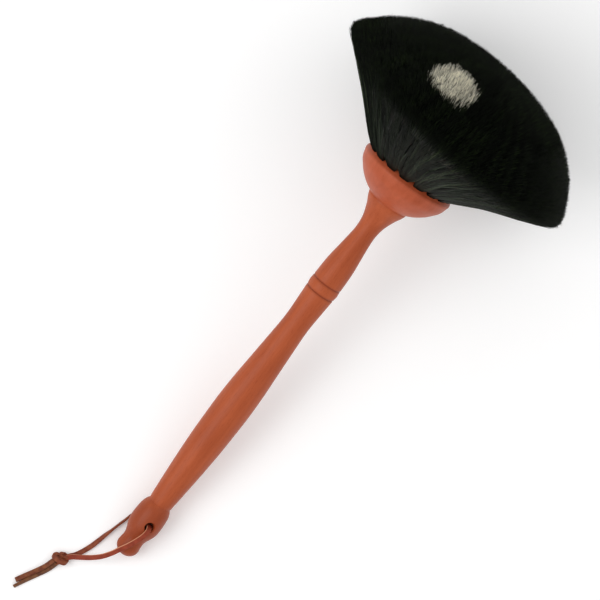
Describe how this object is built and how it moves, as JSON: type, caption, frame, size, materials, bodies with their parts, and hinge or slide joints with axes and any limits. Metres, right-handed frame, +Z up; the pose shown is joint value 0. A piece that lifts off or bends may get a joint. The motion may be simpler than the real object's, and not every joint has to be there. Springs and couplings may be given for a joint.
{
  "type": "hand duster brush",
  "caption": "Hand duster brush with a slim turned wooden handle, a domed wooden head, a wide fan of splayed black hair with one white tuft, and a leather hanging lace.",
  "frame": {"origin": "centre of the bounding box of the brush without its lace, at the level of the table it lies on", "axes": "+X from the butt of the handle towards the hair, in plan; +Z up from the table; +Y completes the right-handed frame. The brush lies propped on its butt and its hair, so its own axis climbs 12.5 degrees from +X towards +Z."},
  "size_m": [0.5106, 0.1984, 0.1908],
  "materials": {
    "handle_wood": "reddish brown pear wood, oiled, satin",
    "head_wood": "the same wood, a little lighter, satin",
    "black_hair": "fine black goat hair, soft sheen",
    "white_hair": "fine off-white goat hair",
    "lace_leather": "reddish brown flat leather lace with paler cut edges"
  },
  "bodies": {
    "brush": {"handle": "handle_wood", "brush_head": "head_wood", "tuft_centre": "black_hair", "tuft_inner_01": "black_hair", "tuft_inner_02": "black_hair", "tuft_inner_03": "black_hair", "tuft_inner_04": "black_hair", "tuft_inner_05": "black_hair", "tuft_inner_06": "black_hair", "tuft_middle_01": "white_hair", "tuft_middle_02": "black_hair", "tuft_middle_03": "black_hair", "tuft_middle_04": "black_hair", "tuft_middle_05": "black_hair", "tuft_middle_06": "black_hair", "tuft_middle_07": "black_hair", "tuft_middle_08": "black_hair", "tuft_middle_09": "black_hair", "tuft_middle_10": "black_hair", "tuft_middle_11": "black_hair", "tuft_middle_12": "black_hair", "tuft_outer_01": "black_hair", "tuft_outer_02": "black_hair", "tuft_outer_03": "black_hair", "tuft_outer_04": "black_hair", "tuft_outer_05": "black_hair", "tuft_outer_06": "black_hair", "tuft_outer_07": "black_hair", "tuft_outer_08": "black_hair", "tuft_outer_09": "black_hair", "tuft_outer_10": "black_hair", "tuft_outer_11": "black_hair", "tuft_outer_12": "black_hair", "tuft_outer_13": "black_hair", "tuft_outer_14": "black_hair", "tuft_outer_15": "black_hair", "tuft_outer_16": "black_hair", "tuft_outer_17": "black_hair", "tuft_outer_18": "black_hair"},
    "lace": {"lace_front_strand": "lace_leather", "lace_back_strand": "lace_leather", "lace_knot": "lace_leather", "lace_left_tail": "lace_leather", "lace_right_tail": "lace_leather"}
  },
  "joints": [
    {"name": "lace_swing", "type": "hinge", "parent": "brush", "child": "lace", "pos_m": [-0.19229, 0.00494, 0.01344], "axis": [-0.1977, -0.4067, 0.8919], "range_deg": [-60, 120]}
  ]
}
